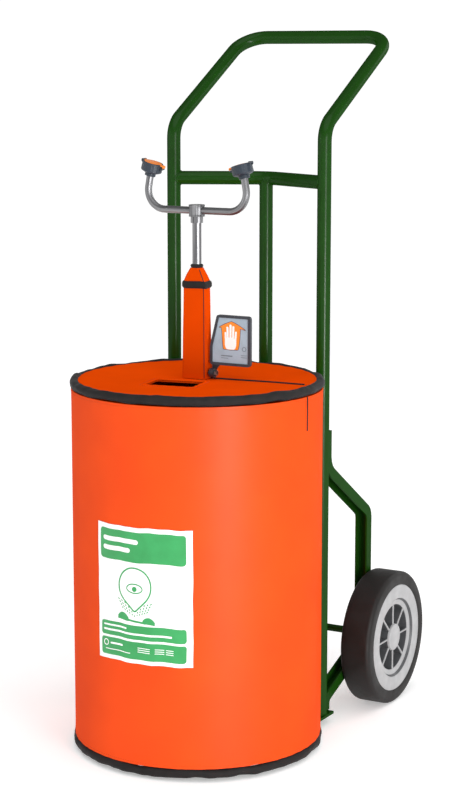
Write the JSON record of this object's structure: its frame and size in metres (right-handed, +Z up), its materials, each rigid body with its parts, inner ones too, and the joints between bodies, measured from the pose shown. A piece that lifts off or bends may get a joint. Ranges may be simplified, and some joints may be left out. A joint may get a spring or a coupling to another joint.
{
  "type": "eyewash station",
  "caption": "Portable pressurised eyewash station: insulated cylindrical tank on a two-wheel hand cart, with a push-flag valve and capped spray heads on a riser.",
  "frame": {"origin": "on the floor, under the tank's axis, on the foot pad's underside", "axes": "+Z up, -Y to the front where the user stands, +X to that user's right"},
  "size_m": [0.4506, 0.7313, 1.2725],
  "materials": {
    "stainless": "satin",
    "brass": "machined",
    "cover_fabric": "coated, slightly glossy",
    "binding": "woven binding, matt",
    "foam": "closed-cell foam, matt",
    "label_film": "printed film",
    "green_paint": "gloss enamel on steel",
    "slate_plastic": "moulded, fine grain",
    "orange_plastic": "moulded",
    "flag_grey": "printed plate",
    "tyre_rubber": "matt",
    "grey_nylon": "moulded",
    "white_nylon": "moulded",
    "red_plastic": "moulded",
    "clear_glass": "clear"
  },
  "bodies": {
    "cart": {"tank_shell": "stainless", "fill_cap": "slate_plastic", "tank_foot_ring": "stainless", "dip_tube": "stainless", "outlet_manifold": "brass", "relief_valve": "brass", "air_valve": "slate_plastic", "gauge_case": "stainless", "gauge_dial": "label_film", "gauge_lens": "clear_glass", "valve_body": "brass", "valve_seat_lower": "white_nylon", "valve_seat_upper": "white_nylon", "riser_pipe": "stainless", "riser_yoke": "stainless", "jacket_wall": "cover_fabric", "jacket_lid": "cover_fabric", "top_binding": "binding", "bottom_binding": "binding", "insulation_liner": "foam", "label": "label_film", "riser_sleeve": "cover_fabric", "sleeve_strap": "binding", "neck_band": "binding", "frame_tube": "green_paint", "upper_cross_bar": "green_paint", "lower_cross_bar": "green_paint", "centre_post": "green_paint", "toe_plate": "green_paint", "foot_pad": "tyre_rubber", "axle": "green_paint", "arm_left": "stainless", "spray_head_left": "slate_plastic", "hinge_pin_left": "stainless", "spray_face_left": "stainless", "axle_bracket_left": "green_paint", "axle_nut_left": "stainless", "arm_right": "stainless", "spray_head_right": "slate_plastic", "hinge_pin_right": "stainless", "spray_face_right": "stainless", "axle_bracket_right": "green_paint", "axle_nut_right": "stainless"},
    "wheel_left": {"tyre_left": "tyre_rubber", "wheel_rim_left": "grey_nylon", "hub_bush_left": "white_nylon", "hub_cap_left": "grey_nylon"},
    "wheel_right": {"tyre_right": "tyre_rubber", "wheel_rim_right": "grey_nylon", "hub_bush_right": "white_nylon", "hub_cap_right": "grey_nylon"},
    "flag": {"flag_plate": "flag_grey", "flag_trim": "slate_plastic", "flag_lever": "slate_plastic", "lever_nut": "stainless", "valve_ball": "stainless"},
    "cover_left": {"dust_cover_left": "orange_plastic"},
    "cover_right": {"dust_cover_right": "orange_plastic"},
    "needle": {"gauge_needle": "red_plastic"},
    "knob": {"relief_knob": "red_plastic"}
  },
  "joints": [
    {"name": "wheel_left_spin", "type": "hinge", "parent": "cart", "child": "wheel_left", "pos_m": [-0.19125, 0.379, 0.127], "axis": [1, 0, 0], "continuous": true},
    {"name": "wheel_right_spin", "type": "hinge", "parent": "cart", "child": "wheel_right", "pos_m": [0.19125, 0.379, 0.127], "axis": [1, 0, 0], "continuous": true},
    {"name": "flag_push", "type": "hinge", "parent": "cart", "child": "flag", "pos_m": [0.03, 0, 0.677], "axis": [-1, 0, 0], "range_deg": [0, 90]},
    {"name": "dust_cover_left_flip", "type": "hinge", "parent": "cart", "child": "cover_left", "pos_m": [-0.1065, 0, 1.0461], "axis": [0, -1, 0], "range_deg": [0, 110]},
    {"name": "dust_cover_right_flip", "type": "hinge", "parent": "cart", "child": "cover_right", "pos_m": [0.1065, 0, 1.0461], "axis": [0, 1, 0], "range_deg": [0, 110]},
    {"name": "gauge_needle_turn", "type": "hinge", "parent": "cart", "child": "needle", "pos_m": [0, -0.066, 0.6455], "axis": [0, 0, 1], "range_deg": [-135, 135]},
    {"name": "relief_knob_pull", "type": "slide", "parent": "cart", "child": "knob", "axis": [-1, 0, 0], "range_m": [0, 0.003], "stiffness_N_per_m": 300}
  ]
}
